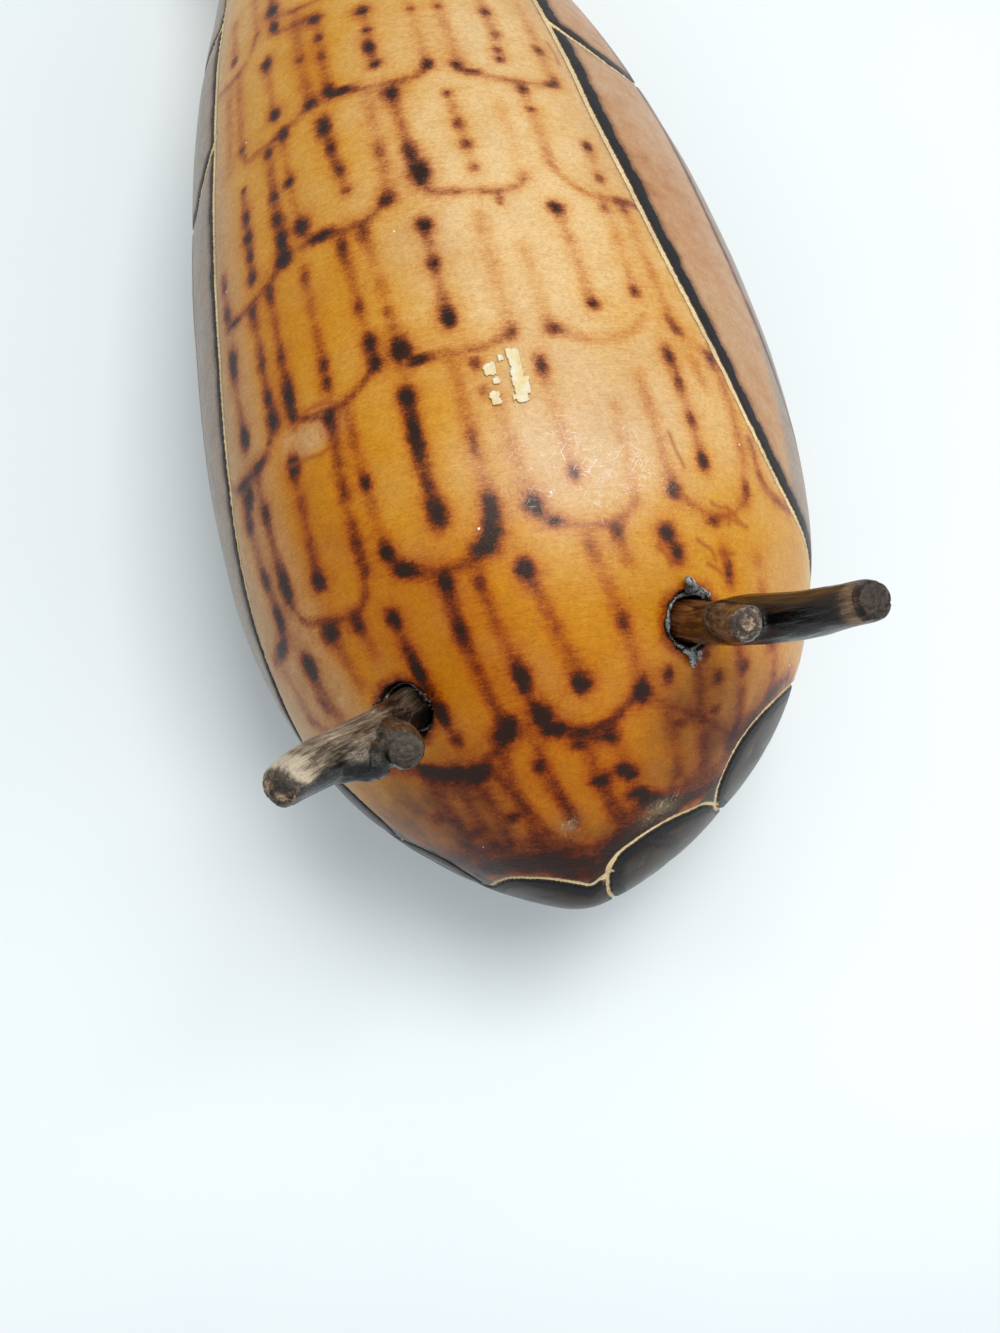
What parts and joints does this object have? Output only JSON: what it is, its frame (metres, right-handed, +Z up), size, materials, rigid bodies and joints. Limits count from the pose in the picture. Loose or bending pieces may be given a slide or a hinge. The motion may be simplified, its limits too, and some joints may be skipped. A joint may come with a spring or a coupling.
{
  "type": "dried bottle gourd",
  "caption": "Dried bottle gourd carved and burnt as a plump bird lying on its back, with forked twigs glued into drilled sockets as its legs.",
  "frame": {"origin": "centre of the small worn flat on the gourd's back that it lies on, under its centre of mass", "axes": "+Y along the gourd from its tail to its neck, +Z up through the belly and the legs, +X to the right seen from above with the neck away"},
  "size_m": [0.1108, 0.2807, 0.1352],
  "materials": {
    "gourd_shell": "varnished, burnt and carved",
    "twig": "varnished",
    "hot_glue": "gloss"
  },
  "bodies": {
    "root": {"gourd": "gourd_shell", "left_twig_leg": "twig", "right_twig_leg": "twig", "left_glue_ring": "hot_glue", "right_glue_ring": "hot_glue"}
  },
  "joints": []
}
